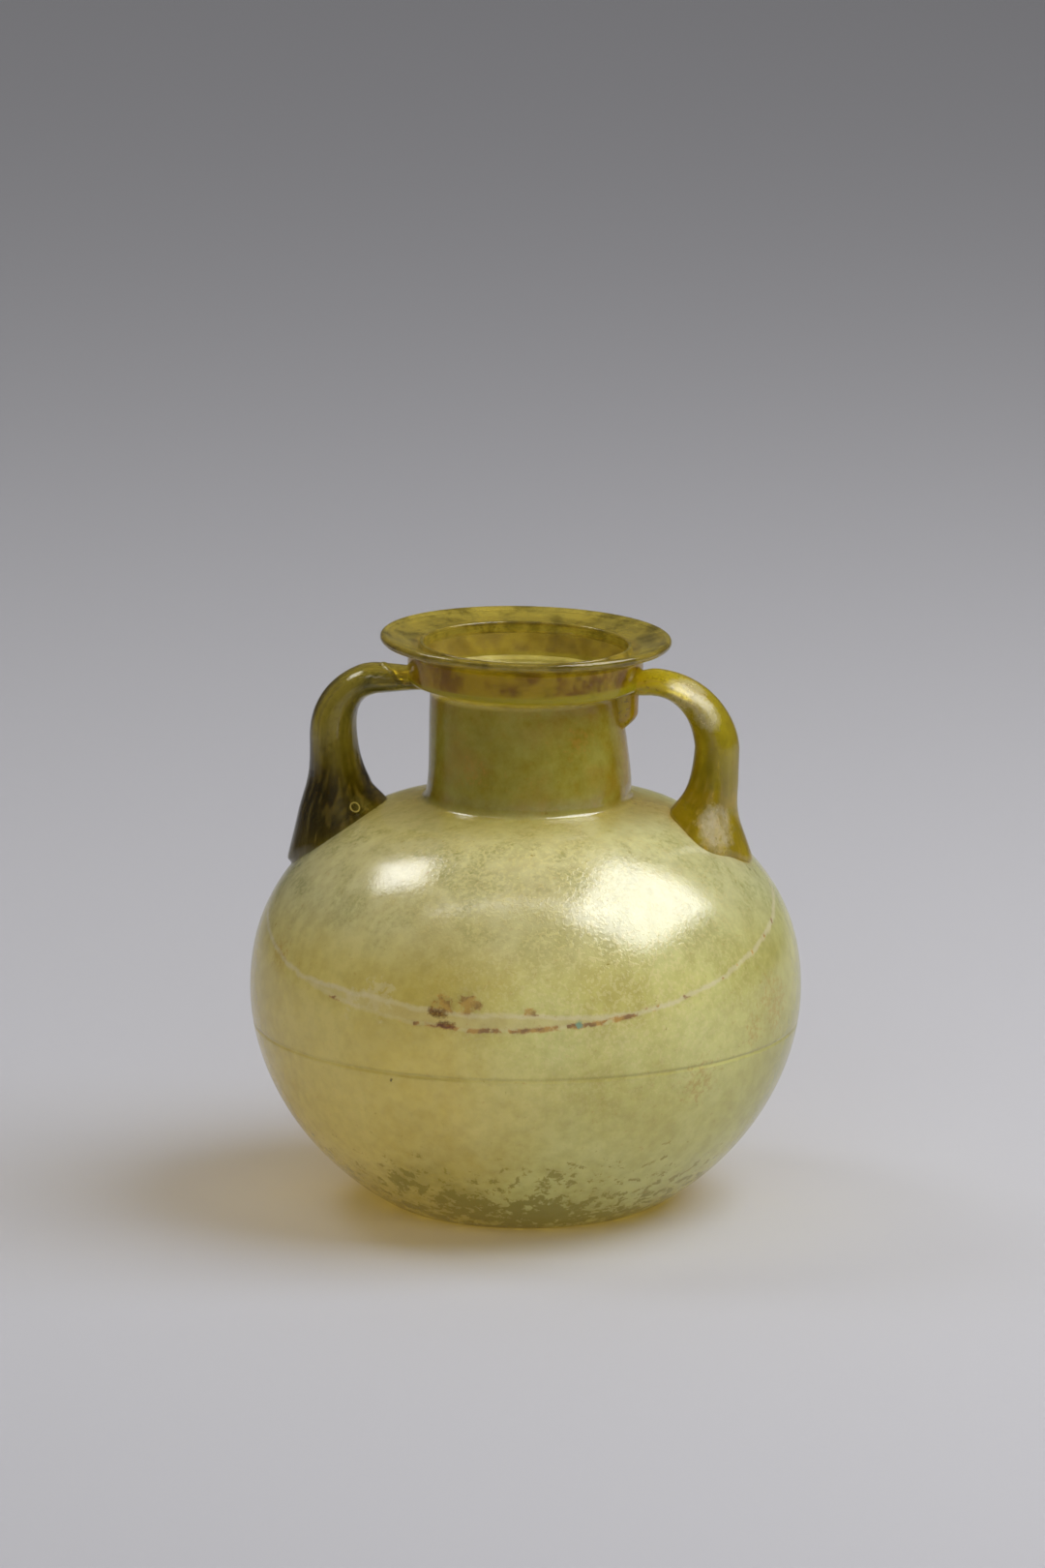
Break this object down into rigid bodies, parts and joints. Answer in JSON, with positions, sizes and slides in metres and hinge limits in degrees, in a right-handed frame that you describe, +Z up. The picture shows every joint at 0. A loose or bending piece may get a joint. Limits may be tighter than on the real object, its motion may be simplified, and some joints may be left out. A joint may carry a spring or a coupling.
{
  "type": "glass amphoriskos",
  "caption": "Small squat jar of thin yellow-green blown glass with a short neck, a folded flanged mouth and ribbed handles from shoulder to collar.",
  "frame": {"origin": "on the jar's axis, in the plane that it stands on", "axes": "+Z up the jar's axis, +X towards the handle whose end is folded down the neck"},
  "size_m": [0.114, 0.114, 0.1197],
  "materials": {
    "body": "thin pale yellow-green glass with a milky weathering film",
    "collar": "amber where two layers of glass lie together",
    "rim": "clear olive glass, fire polished",
    "handle_right": "amber glass with a frosty skin",
    "handle_left": "dark olive-brown glass with drawn streaks"
  },
  "bodies": {
    "root": {"body": "body", "collar": "collar", "rim": "rim", "handle_right": "handle_right", "handle_left": "handle_left"}
  },
  "joints": []
}
